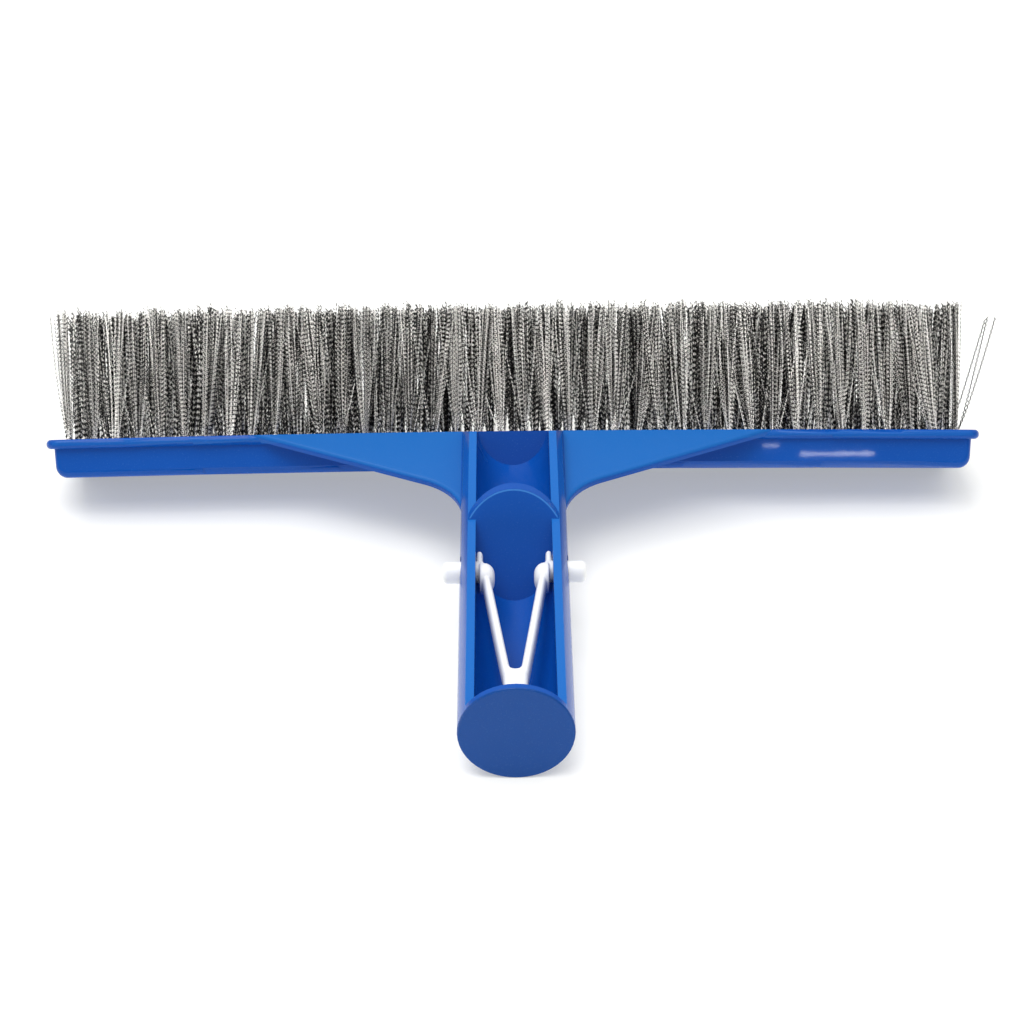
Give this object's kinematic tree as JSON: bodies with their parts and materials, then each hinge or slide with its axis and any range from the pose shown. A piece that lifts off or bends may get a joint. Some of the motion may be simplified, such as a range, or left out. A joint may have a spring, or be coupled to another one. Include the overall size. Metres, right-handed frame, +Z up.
{
  "type": "pool wall brush",
  "caption": "Wide wall brush head: rows of wire tufts in a bowed plastic block, side wings, and a sloping half-tube spigot whose springy V clip locks it into a telescopic pole.",
  "frame": {"origin": "middle of the base of the brush's bounding box, as it rests on a table", "axes": "+X along the block, the longest side; +Z up; the spigot points to -Y and slopes down 6 degrees, and the tufts lean 28 degrees from +Z towards +Y"},
  "size_m": [0.266, 0.178, 0.0577],
  "materials": {
    "blue_plastic": "satin",
    "white_plastic": "satin",
    "wire": "satin",
    "anchor_metal": "satin"
  },
  "bodies": {
    "head": {"brush_body": "blue_plastic", "v_clip_stem": "white_plastic", "tuft_row_1": "wire", "tuft_row_2": "wire", "tuft_row_3": "wire", "tuft_row_4": "wire", "tuft_row_5": "wire", "tuft_anchors_1": "anchor_metal", "tuft_anchors_2": "anchor_metal", "tuft_anchors_3": "anchor_metal", "tuft_anchors_4": "anchor_metal", "tuft_anchors_5": "anchor_metal"},
    "left_arm": {"left_clip_arm": "white_plastic"},
    "right_arm": {"right_clip_arm": "white_plastic"}
  },
  "joints": [
    {"name": "right_arm_bend", "type": "hinge", "parent": "head", "child": "right_arm", "pos_m": [0.0022, -0.06667, 0.01632], "axis": [0, -0.1065, 0.9943], "range_deg": [0, 6.5], "stiffness_Nm_per_rad": 6},
    {"name": "left_arm_bend", "type": "hinge", "parent": "head", "child": "left_arm", "pos_m": [-0.0022, -0.06667, 0.01632], "axis": [0, 0.1065, -0.9943], "range_deg": [0, 6.5], "stiffness_Nm_per_rad": 6}
  ]
}
